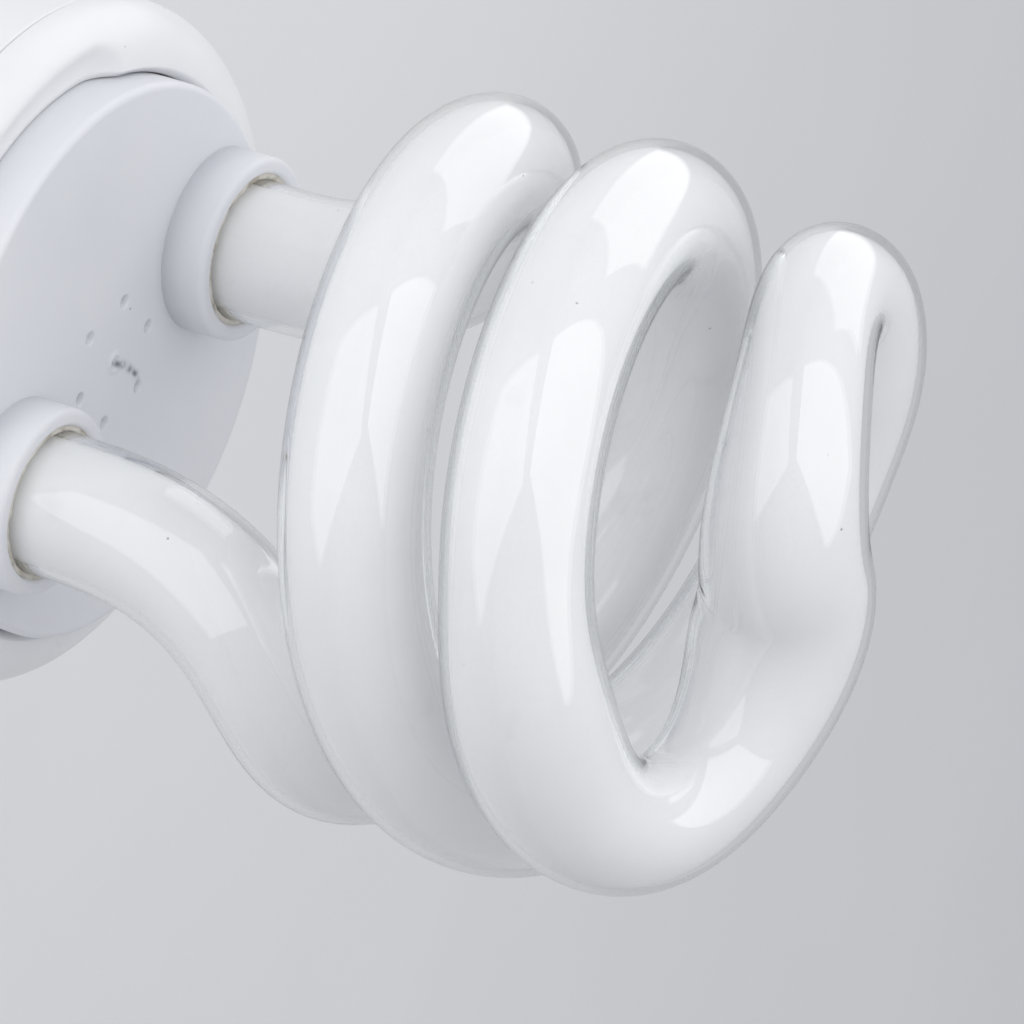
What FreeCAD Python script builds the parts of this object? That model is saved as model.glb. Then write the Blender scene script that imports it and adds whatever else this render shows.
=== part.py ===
"""Spiral energy saving lamp with a screw cap, standing cap down, +Z from the cap to the tip."""
import FreeCAD, Part
import math
import os

import Sketcher

# Driving dimensions in millimetres and degrees
SIZES = {
    # Screw cap
    "contact_radius": 5.0,
    "contact_height": 1.2,
    "contact_edge": 0.5,
    "contact_stud_radius": 1.4,
    "contact_stud_length": 7.0,
    "insulator_tip_radius": 6.4,
    "cap_radius": 13.1,
    "cap_wall": 0.4,
    "cap_nose_inset": 1.5,
    "cap_edge_height": 6.2,
    "cap_nose_height": 9.4,
    "cap_top_height": 26.0,
    "seat_gap": 0.05,
    # Lower housing
    "neck_depth": 12.0,
    "neck_gap": 0.1,
    "neck_wall": 1.8,
    "lip_overhang": 1.8,
    "lip_height": 2.5,
    "bowl_rise": 25.5,
    "shell_radius": 29.3,
    "shell_wall": 1.7,
    "ledge_rise": 3.5,
    "ledge_width": 1.8,
    "ledge_depth": 3.0,
    "seam_rise": 9.3,
    "seam_gap": 0.15,
    # Upper shell
    "lap_clearance": 1.7,
    "lap_gap": 0.1,
    "lap_wall": 1.4,
    "shoulder_rise": 5.0,
    "shoulder_lip": 0.2,
    "shoulder_width": 5.6,
    "groove_width": 0.7,
    "seat_depth": 2.8,
    "seat_thickness": 1.8,
    "seat_width": 2.7,
    "leg_clearance": 1.0,
    "passage_overrun": 1.8,
    "recess_radius": 4.0,
    "recess_rise": 2.2,
    "recess_span": 72.0,
    "recess_azimuth": -112.0,
    # Tube plate
    "plate_step": 2.2,
    "plate_thickness": 2.0,
    "plate_edge": 0.6,
    "rim_wall": 1.8,
    "collar_height": 4.0,
    "collar_wall": 1.4,
    "cement_width": 0.5,
    "cement_recess": 0.4,
    "vent_radius": 0.7,
    "vent_circle": 5.2,
    "vent_azimuth": -6.0,
    # Glass tube
    "tube_radius": 6.0,
    "leg_inset": 8.0,
    "leg_depth": 9.0,
    "pinch_length": 3.0,
    "pinch_width": 7.0,
    "pinch_thickness": 2.4,
    "bend_height": 6.7,
    "bend_leg_reach": 20.0,
    "bend_coil_reach": 11.1,
    "coil_radius": 24.45,
    "coil_pitch": 29.5,
    "coil_start_rise": 23.1,
    "coil_start_angle": 46.2,
    "coil_end_angle": 352.6,
    "bridge_coil_reach": 24.9,
    "bridge_middle_reach": 13.3,
    "bridge_turn": -10.8,
    "bridge_rise": 8.9,
    # Ballast
    "wire_radius": 0.3,
    "lead_spread": 2.2,
    "side_wire_inset": 0.2,
    "board_thickness": 1.6,
    "board_gap": 0.3,
    "reservoir_radius": 6.5,
    "reservoir_length": 20.0,
    "reservoir_x": -5.0,
    "reservoir_y": 6.0,
    "choke_build": 1.5,
    "choke_depth": 6.0,
    "choke_height": 14.0,
    "choke_leg": 3.5,
    "choke_yoke": 2.6,
    "choke_foot": 2.0,
    "choke_wall": 0.8,
    "choke_gap": 0.2,
    "choke_x": 0.0,
    "choke_y": -11.0,
    "toroid_radius": 4.0,
    "toroid_section": 1.6,
    "toroid_x": 9.0,
    "toroid_y": 8.0,
    "film_width": 5.0,
    "film_depth": 10.0,
    "film_height": 10.0,
    "film_inset": 6.6,
    "film_step": 11.0,
    "transistor_width": 5.0,
    "transistor_depth": 4.0,
    "transistor_height": 5.0,
    "transistor_inset": 10.3,
    "transistor_step": 7.0,
    "diode_radius": 1.3,
    "diode_length": 5.0,
    "diode_x": 5.0,
    "diode_y": 14.5,
    "diode_step": 3.6,
    "fuse_radius": 1.6,
    "fuse_length": 7.0,
    "fuse_x": 12.0,
    "fuse_y": -8.0,
}

# Sizes that follow from the driving ones
WORKED_OUT = {
    "cap_nose_radius": "cap_radius - cap_nose_inset",
    "lip_radius": "cap_radius + lip_overhang",
    "lip_top_height": "cap_top_height + lip_height",
    "bowl_top_height": "lip_top_height + bowl_rise",
    "ledge_height": "bowl_top_height + ledge_rise",
    "board_top_height": "ledge_height + board_thickness",
    "board_radius": "shell_radius - shell_wall - board_gap",
    "seam_height": "ledge_height + seam_rise",
    "shoulder_height": "seam_height + shoulder_rise",
    "seat_height": "shoulder_height - seat_depth",
    "plate_height": "shoulder_height + plate_step",
    "plate_radius": "shell_radius - shoulder_width",
    "leg_offset": "plate_radius - leg_inset",
    "leg_end_height": "plate_height - leg_depth",
    "choke_window": "choke_build + choke_wall + 2 * choke_gap + seat_gap",
    "choke_width": "3 * choke_leg + 2 * choke_window",
}

VENT_COUNT = 6
RECESS_COUNT = 2
FILM_COUNT = 2
TRANSISTOR_COUNT = 2
DIODE_COUNT = 4
BEND_STATIONS = 2
COIL_STATIONS = 6
BRIDGE_STATIONS = 3
SIDES = (1, -1)
ALIGNED = 1e-6

Vector = FreeCAD.Vector
UP = Vector(0, 0, 1)

DOC = FreeCAD.newDocument("spiral_lamp")
SHEET = DOC.addObject("Spreadsheet::Sheet", "dim")
formulas = {alias: "=" + formula for alias, formula in WORKED_OUT.items()}
for row, (alias, value) in enumerate((SIZES | formulas).items(), 1):
    SHEET.set(f"A{row}", alias.replace("_", " "))
    SHEET.set(f"B{row}", str(value))
    SHEET.setAlias(f"B{row}", alias)
DOC.recompute()


def size(formula):
    """The value of a formula of the sheet's sizes."""
    return float(SHEET.evalExpression(formula))


def place(item, at):
    """Bind an object's position to three formulas."""
    for axis, formula in zip("xyz", at):
        item.setExpression("Placement.Base." + axis, formula)


def solid(kind, name, at=("0", "0", "0"), turn=None, **sizes):
    """A primitive with its sizes and position bound to the sheet."""
    item = DOC.addObject("Part::" + kind, name)
    if turn is not None:
        item.Placement = FreeCAD.Placement(Vector(), turn)
    for key, formula in sizes.items():
        item.setExpression(key, formula)
    place(item, at)
    return item


def block(name, centre_x, centre_y, bottom, width, depth, height):
    """An upright box given by the middle of its base."""
    corner = (f"{centre_x} - ({width}) / 2", f"{centre_y} - ({depth}) / 2", bottom)
    return solid("Box", name, corner, Length=width, Width=depth, Height=height)


def fuse(name, items):
    joined = DOC.addObject("Part::MultiFuse", name)
    joined.Shapes = items
    return joined


def cut(name, base, tool):
    left = DOC.addObject("Part::Cut", name)
    left.Base = base
    left.Tool = tool
    return left


def common(name, first, second):
    shared = DOC.addObject("Part::Common", name)
    shared.Base = first
    shared.Tool = second
    return shared


def group(name, items):
    """Separate solids that make one node."""
    members = DOC.addObject("Part::Compound", name)
    members.Links = items
    return members


def arc_between(start, end, radius, leftward):
    """The shorter arc from start to end, with its centre to the left or right of the way there."""
    chord = end - start
    half = chord.Length / 2
    side = Vector(-chord.y, chord.x, 0).normalize() * (1 if leftward else -1)
    centre = (start + end) * 0.5 + side * math.sqrt(max(radius * radius - half * half, 0.0))
    first, last = (start, end) if leftward else (end, start)
    angles = [math.atan2(p.y - centre.y, p.x - centre.x) for p in (first, last)]
    return Part.ArcOfCircle(Part.Circle(centre, UP, radius), *angles)


def pin_corner(sketch, geometry, end, across, up):
    """Hold one end of an outline's edge at a radius and a height."""
    for kind, axis, formula in (("DistanceX", -2, across), ("DistanceY", -1, up)):
        if formula == "0":
            sketch.addConstraint(Sketcher.Constraint("PointOnObject", geometry, end, axis))
            continue
        held = Sketcher.Constraint(kind, -1, 1, geometry, end, size(formula))
        index = sketch.addConstraint(held)
        sketch.setExpression(f"Constraints[{index}]", formula)


def turned(name, outline):
    """A body turned about Z from (radius, height) corners.

    A corner may add the radius of the arc that leads on from it and whether it bends to the left.
    """
    body = DOC.addObject("PartDesign::Body", name)
    sketch = body.newObject("Sketcher::SketchObject", name + "_outline")
    plane = next(item for item in body.Origin.OriginFeatures if item.Role == "XZ_Plane")
    sketch.AttachmentSupport = (plane, [""])
    sketch.MapMode = "FlatFace"
    corners = [Vector(size(corner[0]), size(corner[1]), 0) for corner in outline]
    ends = []
    for index, corner in enumerate(outline):
        start = corners[index]
        end = corners[(index + 1) % len(corners)]
        if len(corner) == 2:
            sketch.addGeometry(Part.LineSegment(start, end))
            ends.append((1, 2))
            continue
        radius, leftward = corner[2:]
        sketch.addGeometry(arc_between(start, end, size(radius), leftward))
        ends.append((1, 2) if leftward else (2, 1))
    for index in range(len(outline)):
        following = (index + 1) % len(outline)
        joint = Sketcher.Constraint("Coincident", index, ends[index][1], following, ends[following][0])
        sketch.addConstraint(joint)
    for index, corner in enumerate(outline):
        pin_corner(sketch, index, ends[index][0], corner[0], corner[1])
        if len(corner) > 2:
            held = sketch.addConstraint(Sketcher.Constraint("Radius", index, size(corner[2])))
            sketch.setExpression(f"Constraints[{held}]", corner[2])
    turn = body.newObject("PartDesign::Revolution", name + "_turn")
    turn.Profile = sketch
    turn.ReferenceAxis = (sketch, ["V_Axis"])
    turn.Angle = 360.0
    return body


def centre_contact():
    """Contact disc with a rounded edge and a stud up into the insulator."""
    stud_top = "dim.contact_height + dim.contact_stud_length"
    return turned("centre_contact", [
        ("0", "0"),
        ("dim.contact_radius - dim.contact_edge", "0", "dim.contact_edge", True),
        ("dim.contact_radius", "dim.contact_edge"),
        ("dim.contact_radius", "dim.contact_height"),
        ("dim.contact_stud_radius", "dim.contact_height"),
        ("dim.contact_stud_radius", stud_top),
        ("0", stud_top),
    ])


def cap_insulator():
    """Glass cone that holds the contact inside the lower edge of the screw shell."""
    hole = "dim.contact_stud_radius + dim.seat_gap"
    return turned("cap_insulator", [
        (hole, "dim.contact_height"),
        ("dim.insulator_tip_radius", "dim.contact_height"),
        ("dim.cap_nose_radius - dim.cap_wall - dim.seat_gap", "dim.cap_edge_height"),
        ("dim.cap_radius - dim.cap_wall - dim.seat_gap", "dim.cap_nose_height"),
        (hole, "dim.cap_nose_height"),
    ])


def screw_shell():
    """Thin metal shell at the thread's outer diameter, drawn in at its lower edge."""
    return turned("screw_shell", [
        ("dim.cap_nose_radius - dim.cap_wall", "dim.cap_edge_height"),
        ("dim.cap_nose_radius", "dim.cap_edge_height"),
        ("dim.cap_radius", "dim.cap_nose_height"),
        ("dim.cap_radius", "dim.cap_top_height"),
        ("dim.cap_radius - dim.cap_wall", "dim.cap_top_height"),
        ("dim.cap_radius - dim.cap_wall", "dim.cap_nose_height"),
    ])


def lower_housing():
    """Bowl from the seam down to a neck that fits inside the screw shell."""
    neck = "(dim.cap_radius - dim.cap_wall - dim.neck_gap)"
    bore = f"{neck} - dim.neck_wall"
    spread = "(dim.shell_radius - dim.lip_radius)"
    bowl = f"({spread} ^ 2 + dim.bowl_rise ^ 2) / (2 * {spread})"
    inner = "dim.shell_radius - dim.shell_wall"
    inner_spread = f"(dim.shell_radius - dim.shell_wall - ({bore}))"
    inner_bowl = f"({inner_spread} ^ 2 + dim.bowl_rise ^ 2) / (2 * {inner_spread})"
    rim = "dim.seam_height - dim.seam_gap"
    return turned("lower_housing", [
        (bore, "dim.cap_top_height - dim.neck_depth"),
        (neck, "dim.cap_top_height - dim.neck_depth"),
        (neck, "dim.cap_top_height"),
        ("dim.lip_radius", "dim.cap_top_height"),
        ("dim.lip_radius", "dim.lip_top_height", bowl, True),
        ("dim.shell_radius", "dim.bowl_top_height"),
        ("dim.shell_radius", rim),
        (inner, rim),
        (inner, "dim.ledge_height"),
        (f"{inner} - dim.ledge_width", "dim.ledge_height"),
        (inner, "dim.ledge_height - dim.ledge_depth"),
        (inner, "dim.bowl_top_height", inner_bowl, False),
        (bore, "dim.lip_top_height"),
    ])


def upper_shell():
    """Rounded shoulder with a seat for the tube plate and a skirt lapped inside the bowl."""
    lap = "(dim.shell_radius - dim.shell_wall - dim.lap_gap)"
    groove = "(dim.plate_radius + dim.groove_width)"
    spread = f"(dim.shell_radius - {groove})"
    rise = "(dim.shoulder_rise - dim.shoulder_lip)"
    shoulder = f"({spread} ^ 2 + {rise} ^ 2) / (2 * {spread})"
    lap_end = "dim.board_top_height + dim.lap_clearance"
    seat_bottom = "dim.seat_height - dim.seat_thickness"
    ring = turned("upper_shell_ring", [
        (f"{lap} - dim.lap_wall", lap_end),
        (lap, lap_end),
        (lap, "dim.seam_height"),
        ("dim.shell_radius", "dim.seam_height"),
        ("dim.shell_radius", "dim.seam_height + dim.shoulder_lip", shoulder, True),
        (groove, "dim.shoulder_height"),
        (groove, "dim.seat_height"),
        ("dim.plate_radius - dim.seat_width", "dim.seat_height"),
        ("dim.plate_radius - dim.seat_width", seat_bottom),
        (f"{lap} - dim.lap_wall", seat_bottom),
    ])
    tools = []
    for side in SIDES:
        tools.append(solid(
            "Cylinder", f"leg_passage_{len(tools)}",
            (f"{side} * dim.leg_offset", "0", f"{seat_bottom} - dim.passage_overrun"),
            Radius="dim.tube_radius + dim.leg_clearance",
            Height="dim.seat_thickness + 2 * dim.passage_overrun",
        ))
    for number in range(RECESS_COUNT):
        tools += recess_tools(number, groove)
    return cut("upper_shell", ring, fuse("upper_shell_openings", tools))


def recess_tools(number, ring_radius):
    """A round-ended hollow that follows the groove for part of the way round."""
    first = f"(dim.recess_azimuth + {number} * 360 / {RECESS_COUNT})"
    level = "dim.shoulder_height + dim.recess_rise"
    sweep = solid(
        "Torus", f"recess_sweep_{number}", ("0", "0", level),
        Radius1=ring_radius, Radius2="dim.recess_radius", Angle3="dim.recess_span",
    )
    sweep.setExpression("Placement.Rotation.Angle", first)
    ends = []
    for name, azimuth in (("first", first), ("last", f"({first} + dim.recess_span)")):
        spot = (f"{ring_radius} * cos({azimuth} * 1deg)", f"{ring_radius} * sin({azimuth} * 1deg)", level)
        ends.append(solid("Sphere", f"recess_{name}_{number}", spot, Radius="dim.recess_radius"))
    return [sweep] + ends


def tube_plate():
    """Proud disc on a rim, with a collar round each leg of the tube and a ring of vents."""
    inside = "dim.plate_radius - dim.rim_wall"
    underside = "dim.plate_height - dim.plate_thickness"
    disc = turned("plate_disc", [
        ("0", underside),
        (inside, underside),
        (inside, "dim.seat_height"),
        ("dim.plate_radius", "dim.seat_height"),
        ("dim.plate_radius", "dim.plate_height - dim.plate_edge", "dim.plate_edge", True),
        ("dim.plate_radius - dim.plate_edge", "dim.plate_height"),
        ("0", "dim.plate_height"),
    ])
    bore = "dim.tube_radius + dim.cement_width"
    collar = f"{bore} + dim.collar_wall"
    pieces = [disc]
    holes = []
    for number, side in enumerate(SIDES):
        middle = f"{side} * dim.leg_offset"
        base = (middle, "0", "dim.seat_height")
        boss = solid(
            "Cylinder", f"boss_{number}", base,
            Radius=collar, Height="dim.plate_height - dim.seat_height - dim.plate_edge",
        )
        limit = solid(
            "Cylinder", f"boss_limit_{number}", ("0", "0", "dim.seat_height"),
            Radius="dim.plate_radius", Height="dim.plate_height - dim.seat_height",
        )
        pieces.append(common(f"boss_inside_{number}", boss, limit))
        pieces.append(solid(
            "Cylinder", f"collar_{number}", (middle, "0", "dim.plate_height - dim.plate_edge"),
            Radius=collar, Height="dim.collar_height + dim.plate_edge",
        ))
        holes.append(solid(
            "Cylinder", f"collar_bore_{number}", base,
            Radius=bore, Height="dim.plate_height - dim.seat_height + dim.collar_height",
        ))
    for number in range(VENT_COUNT):
        azimuth = f"(dim.vent_azimuth + {number} * 360 / {VENT_COUNT}) * 1deg"
        spot = (f"dim.vent_circle * cos({azimuth})", f"dim.vent_circle * sin({azimuth})", underside)
        holes.append(solid(
            "Cylinder", f"vent_{number}", spot, Radius="dim.vent_radius", Height="dim.plate_thickness",
        ))
    return cut("tube_plate", fuse("plate_with_collars", pieces), fuse("plate_holes", holes))


def cement_rings():
    """Cement between each leg of the tube and its collar."""
    rings = []
    for number, side in enumerate(SIDES):
        base = (f"{side} * dim.leg_offset", "0", "dim.seat_height")
        height = "dim.plate_height - dim.seat_height + dim.collar_height - dim.cement_recess"
        outer = solid(
            "Cylinder", f"cement_outside_{number}", base,
            Radius="dim.tube_radius + dim.cement_width - dim.seat_gap", Height=height,
        )
        inner = solid(
            "Cylinder", f"cement_inside_{number}", base,
            Radius="dim.tube_radius + dim.seat_gap", Height=height,
        )
        rings.append(cut(f"cement_ring_{number}", outer, inner))
    return group("cement_rings", rings)


def bezier(poles):
    curve = Part.BezierCurve()
    curve.setPoles(poles)
    return curve


def strand_stations():
    """Points and directions along one half of the tube, from the end of a leg to the tip."""
    radius = size("dim.coil_radius")
    slope = math.atan2(size("dim.coil_pitch"), 2 * math.pi * radius)
    leg_x = size("dim.leg_offset")
    leg_end = Vector(leg_x, 0, size("dim.leg_end_height"))
    bend_start = Vector(leg_x, 0, size("dim.plate_height + dim.bend_height"))
    first = math.radians(size("dim.coil_start_angle"))
    last = math.radians(size("dim.coil_end_angle"))
    coil_bottom = bend_start.z + size("dim.coil_start_rise")

    def coil_point(angle):
        height = coil_bottom + radius * (angle - first) * math.tan(slope)
        return Vector(radius * math.cos(angle), radius * math.sin(angle), height)

    def coil_direction(angle):
        flat = math.cos(slope)
        return Vector(-math.sin(angle) * flat, math.cos(angle) * flat, math.sin(slope))

    bend = bezier([
        bend_start,
        bend_start + UP * size("dim.bend_leg_reach"),
        coil_point(first) - coil_direction(first) * size("dim.bend_coil_reach"),
        coil_point(first),
    ])
    tip = UP * (coil_point(last).z + size("dim.bridge_rise"))
    across = last + math.pi / 2 - math.radians(size("dim.bridge_turn"))
    bridge = bezier([
        coil_point(last),
        coil_point(last) + coil_direction(last) * size("dim.bridge_coil_reach"),
        tip + Vector(math.cos(across), math.sin(across), 0) * size("dim.bridge_middle_reach"),
        tip,
    ])
    stations = [(leg_end, UP)]
    for step in range(BEND_STATIONS):
        stations.append((bend.value(step / BEND_STATIONS), bend.tangent(step / BEND_STATIONS)[0]))
    for step in range(COIL_STATIONS):
        angle = first + (last - first) * step / COIL_STATIONS
        stations.append((coil_point(angle), coil_direction(angle)))
    for step in range(BRIDGE_STATIONS + 1):
        stations.append((bridge.value(step / BRIDGE_STATIONS), bridge.tangent(step / BRIDGE_STATIONS)[0]))
    return stations


def tangent_arc(start, corner, end):
    """The arc from start to end whose end tangents meet at the corner."""
    middle = (start + end) * 0.5
    weight = (start - middle).Length / (start - corner).Length
    top = (start + corner * (2 * weight) + end) * (1 / (2 + 2 * weight))
    return Part.Arc(start, top, end).toShape()


def arc_pair(station, following):
    """Two arcs that join two stations and keep both directions."""
    start, leaving = station
    end, arriving = following
    way = end - start
    if way.cross(leaving).Length < ALIGNED and way.cross(arriving).Length < ALIGNED:
        return [Part.LineSegment(start, end).toShape()]
    along = way.dot(leaving + arriving)
    turn = 2 * (1 - leaving.dot(arriving))
    reach = (math.sqrt(along * along + turn * way.dot(way)) - along) / turn
    first_corner = start + leaving * reach
    last_corner = end - arriving * reach
    joint = (first_corner + last_corner) * 0.5
    return [tangent_arc(start, first_corner, joint), tangent_arc(joint, last_corner, end)]


def tube_path():
    """Centreline of the whole tube: one strand and the same strand turned half round."""
    stations = strand_stations()
    edges = []
    for station, following in zip(stations, stations[1:]):
        edges += arc_pair(station, following)
    returning = []
    for edge in edges:
        twin = edge.copy()
        twin.rotate(Vector(), UP, 180)
        returning.append(twin)
    path = DOC.addObject("Part::Feature", "tube_path")
    path.Shape = Part.Wire(Part.__sortEdges__(edges + returning))
    return path


def glass_tube():
    """Sealed double spiral of glass tube, its strands bridged at the tip and its ends pinched flat."""
    path = tube_path()
    section = DOC.addObject("Part::Circle", "tube_section")
    section.setExpression("Radius", "dim.tube_radius")
    place(section, ("dim.leg_offset", "0", "dim.leg_end_height"))
    sweep = DOC.addObject("Part::Sweep", "tube_sweep")
    sweep.Sections = [section]
    sweep.Spine = (path, [f"Edge{number}" for number in range(1, len(path.Shape.Edges) + 1)])
    sweep.Solid = True
    sweep.Frenet = False
    pinches = []
    for side in SIDES:
        pinches.append(block(
            f"pinch_{len(pinches)}", f"{side} * dim.leg_offset", "0", "dim.leg_end_height - dim.pinch_length",
            "dim.pinch_thickness", "dim.pinch_width", "dim.pinch_length",
        ))
    return fuse("glass_tube", [sweep] + pinches)


def lead_wires():
    """Wires from each pinch down to the board."""
    wires = []
    for side in SIDES:
        for lead in SIDES:
            wires.append(solid(
                "Cylinder", f"lead_wire_{len(wires)}",
                (f"{side} * dim.leg_offset", f"{lead} * dim.lead_spread", "dim.board_top_height"),
                Radius="dim.wire_radius",
                Height="dim.leg_end_height - dim.pinch_length - dim.board_top_height",
            ))
    return group("lead_wires", wires)


def circuit_board():
    """Round board that rests on the bowl's ledge."""
    return solid(
        "Cylinder", "circuit_board", ("0", "0", "dim.ledge_height"),
        Radius="dim.board_radius", Height="dim.board_thickness",
    )


def hung_block(name, x, y, width, depth, height):
    """A box that hangs under the board."""
    return block(name, x, y, f"dim.ledge_height - ({height})", width, depth, height)


def hung_cylinder(name, x, y, radius, length):
    """An upright round body that hangs under the board."""
    return solid("Cylinder", name, (x, y, f"dim.ledge_height - ({length})"), Radius=radius, Height=length)


def choke():
    """Ferrite core, bobbin and winding of the choke."""
    spool = "(dim.choke_leg + 2 * dim.choke_gap + 2 * dim.choke_wall)"
    spool_depth = "(dim.choke_depth + 2 * dim.choke_gap + 2 * dim.choke_wall)"
    hole = "(dim.choke_leg + 2 * dim.choke_gap)"
    hole_depth = "(dim.choke_depth + 2 * dim.choke_gap)"
    low = "(dim.ledge_height - dim.choke_foot - dim.choke_gap - dim.choke_height)"
    clear = "(dim.choke_height - 2 * dim.choke_yoke)"
    spot = ("dim.choke_x", "dim.choke_y")
    frame = block("choke_frame", *spot, low, "dim.choke_width", "dim.choke_depth", "dim.choke_height")
    openings = []
    for side in SIDES:
        openings.append(block(
            f"choke_window_{len(openings)}",
            f"(dim.choke_x + {side} * (dim.choke_leg + dim.choke_window) / 2)", "dim.choke_y",
            f"{low} + dim.choke_yoke", "dim.choke_window", "2 * dim.choke_depth", clear,
        ))
    core = cut("choke_core", frame, fuse("choke_windows", openings))
    inner_low = f"({low} + dim.choke_yoke + dim.choke_gap)"
    inner_height = f"({clear} - 2 * dim.choke_gap)"
    tube = block("choke_spool", *spot, inner_low, spool, spool_depth, inner_height)
    bore = block("choke_spool_bore", *spot, inner_low, hole, hole_depth, inner_height)
    coil = "(dim.choke_leg + 2 * dim.choke_window - 2 * dim.choke_gap)"
    coil_depth = f"({spool_depth} + {coil} - {spool})"
    wound = block("choke_coil", *spot, inner_low, coil, coil_depth, inner_height)
    taken = block(
        "choke_coil_bore", *spot, inner_low,
        f"{spool} + 2 * dim.seat_gap", f"{spool_depth} + 2 * dim.seat_gap", inner_height,
    )
    base = hung_block("choke_base", *spot, "dim.choke_width", coil_depth, "dim.choke_foot")
    return [core, cut("choke_bobbin", tube, bore), cut("choke_winding", wound, taken), base]


def drive_toroid():
    """Small ring core standing on edge under the board."""
    upright = FreeCAD.Rotation(Vector(1, 0, 0), 90)
    level = "dim.ledge_height - dim.toroid_radius - dim.toroid_section"
    return solid(
        "Torus", "drive_toroid", ("dim.toroid_x", "dim.toroid_y", level), upright,
        Radius1="dim.toroid_radius", Radius2="dim.toroid_section",
    )


def reservoir_capacitor():
    """Electrolytic can that hangs towards the cap."""
    return hung_cylinder(
        "reservoir_capacitor", "dim.reservoir_x", "dim.reservoir_y",
        "dim.reservoir_radius", "dim.reservoir_length",
    )


def film_capacitors():
    """Film capacitors in a row."""
    row = []
    for number in range(FILM_COUNT):
        y = f"({number} - {(FILM_COUNT - 1) / 2}) * dim.film_step"
        row.append(hung_block(
            f"film_capacitor_{number}", "(dim.film_inset - dim.board_radius)", y,
            "dim.film_width", "dim.film_depth", "dim.film_height",
        ))
    return group("film_capacitors", row)


def transistors():
    """Switching transistors side by side."""
    row = []
    for number in range(TRANSISTOR_COUNT):
        y = f"({number} - {(TRANSISTOR_COUNT - 1) / 2}) * dim.transistor_step"
        row.append(hung_block(
            f"transistor_{number}", "(dim.board_radius - dim.transistor_inset)", y,
            "dim.transistor_depth", "dim.transistor_width", "dim.transistor_height",
        ))
    return group("transistors", row)


def rectifier_diodes():
    """Bridge of diodes standing on end."""
    row = []
    for number in range(DIODE_COUNT):
        x = f"dim.diode_x + ({number} - {(DIODE_COUNT - 1) / 2}) * dim.diode_step"
        row.append(hung_cylinder(f"diode_{number}", x, "dim.diode_y", "dim.diode_radius", "dim.diode_length"))
    return group("rectifier_diodes", row)


def fuse_resistor():
    """Fusible resistor standing on end."""
    return hung_cylinder("fuse_resistor", "dim.fuse_x", "dim.fuse_y", "dim.fuse_radius", "dim.fuse_length")


def supply_wires():
    """One wire to the centre contact and one over the end of the neck to the screw shell."""
    contact_top = "(dim.contact_height + dim.contact_stud_length)"
    centre = solid(
        "Cylinder", "centre_wire", ("0", "0", contact_top),
        Radius="dim.wire_radius", Height=f"dim.ledge_height - {contact_top}",
    )
    bore = "(dim.cap_radius - dim.cap_wall - dim.neck_gap - dim.neck_wall)"
    run = f"({bore} - dim.wire_radius - dim.side_wire_inset)"
    turn_height = "(dim.cap_top_height - dim.neck_depth - dim.wire_radius - dim.side_wire_inset)"
    down = solid(
        "Cylinder", "side_wire_down", (run, "0", turn_height),
        Radius="dim.wire_radius", Height=f"dim.ledge_height - {turn_height}",
    )
    out = solid(
        "Cylinder", "side_wire_out", (run, "0", turn_height), FreeCAD.Rotation(Vector(0, 1, 0), 90),
        Radius="dim.wire_radius", Height=f"dim.cap_radius - dim.cap_wall - dim.side_wire_inset - {run}",
    )
    return group("supply_wires", [centre, fuse("side_wire", [down, out])])


NODES = [
    centre_contact(),
    cap_insulator(),
    screw_shell(),
    lower_housing(),
    upper_shell(),
    tube_plate(),
    cement_rings(),
    glass_tube(),
    lead_wires(),
    circuit_board(),
    *choke(),
    drive_toroid(),
    reservoir_capacitor(),
    film_capacitors(),
    transistors(),
    rectifier_diodes(),
    fuse_resistor(),
    supply_wires(),
]

DOC.recompute()
failed = [item.Label for item in DOC.Objects if {"Invalid", "Error"} & set(item.State)]
failed += [node.Label for node in NODES if node.Shape.isNull() or not node.Shape.isValid()]
if failed:
    raise RuntimeError("These pieces did not build: " + ", ".join(failed))

os.makedirs("parts", exist_ok=True)
for node in NODES:
    node.Shape.exportStep(os.path.join("parts", node.Label + ".step"))
    print(node.Label, len(node.Shape.Solids), round(node.Shape.Volume, 1))
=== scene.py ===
"""Looks of the spiral lamp: fine forms, materials, studio light and the photograph's camera."""
import math

import bmesh
import bpy
import numpy as np
from mathutils import Matrix, Vector, noise


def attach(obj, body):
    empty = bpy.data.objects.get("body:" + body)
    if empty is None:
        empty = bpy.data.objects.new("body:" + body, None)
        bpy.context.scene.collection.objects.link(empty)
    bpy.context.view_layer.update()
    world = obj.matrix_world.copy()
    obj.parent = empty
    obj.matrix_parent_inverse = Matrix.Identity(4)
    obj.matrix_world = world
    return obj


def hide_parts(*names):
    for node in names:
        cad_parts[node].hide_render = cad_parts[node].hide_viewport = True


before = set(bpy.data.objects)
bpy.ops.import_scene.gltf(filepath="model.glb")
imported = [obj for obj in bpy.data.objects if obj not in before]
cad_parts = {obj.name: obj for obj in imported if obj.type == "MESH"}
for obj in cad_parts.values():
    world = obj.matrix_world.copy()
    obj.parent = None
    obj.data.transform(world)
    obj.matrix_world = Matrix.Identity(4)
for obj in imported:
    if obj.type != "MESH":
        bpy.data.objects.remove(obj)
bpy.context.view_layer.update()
scene = bpy.context.scene

MM = 0.001

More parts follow.
